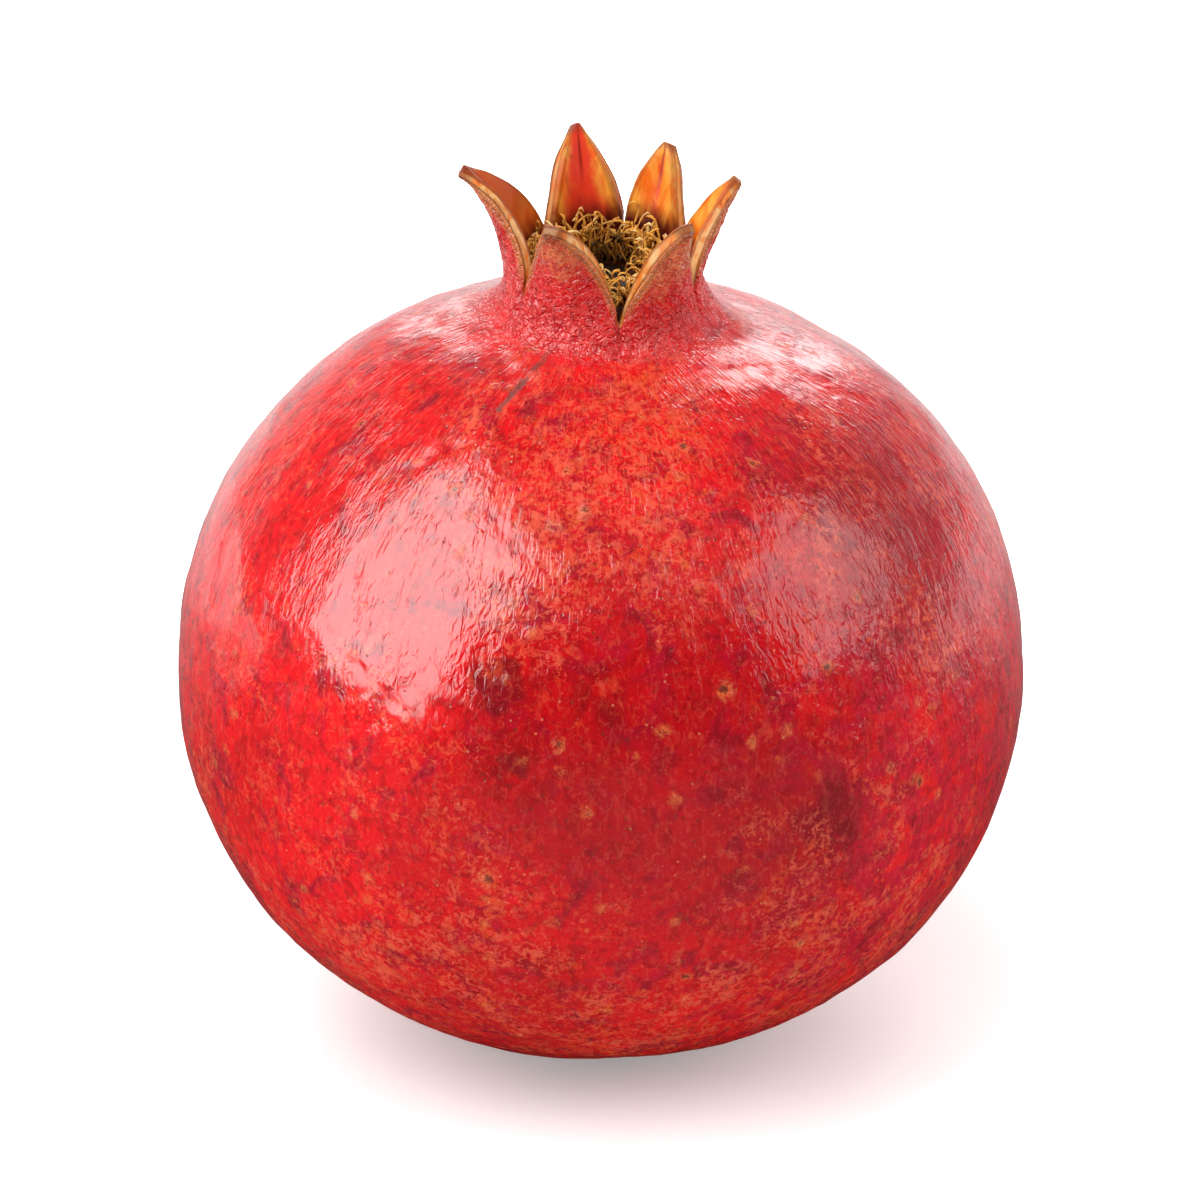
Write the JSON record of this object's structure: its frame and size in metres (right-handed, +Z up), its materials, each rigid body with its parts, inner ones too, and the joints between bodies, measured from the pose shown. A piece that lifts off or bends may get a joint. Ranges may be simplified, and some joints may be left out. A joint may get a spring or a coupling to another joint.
{
  "type": "pomegranate",
  "caption": "Whole fresh red pomegranate standing upright, round leathery rind with an open pointed crown, dried stamens inside it and a cut stalk underneath.",
  "frame": {"origin": "on the ground, under the middle of the fruit's outline seen from above", "axes": "+Z up from the stalk end to the crown, -Y towards the side that the picture shows, +X to the right in the picture"},
  "size_m": [0.0926, 0.092, 0.0994],
  "materials": {
    "rind": "satin leathery skin, deep red mottled with orange, turning amber and tan on the lobes of the crown",
    "stamens": "dry papery threads, golden brown",
    "stalk": "matt, bark at the side and a pale cut end"
  },
  "bodies": {
    "root": {"fruit": "rind", "stamens": "stamens", "stalk": "stalk"}
  },
  "joints": []
}
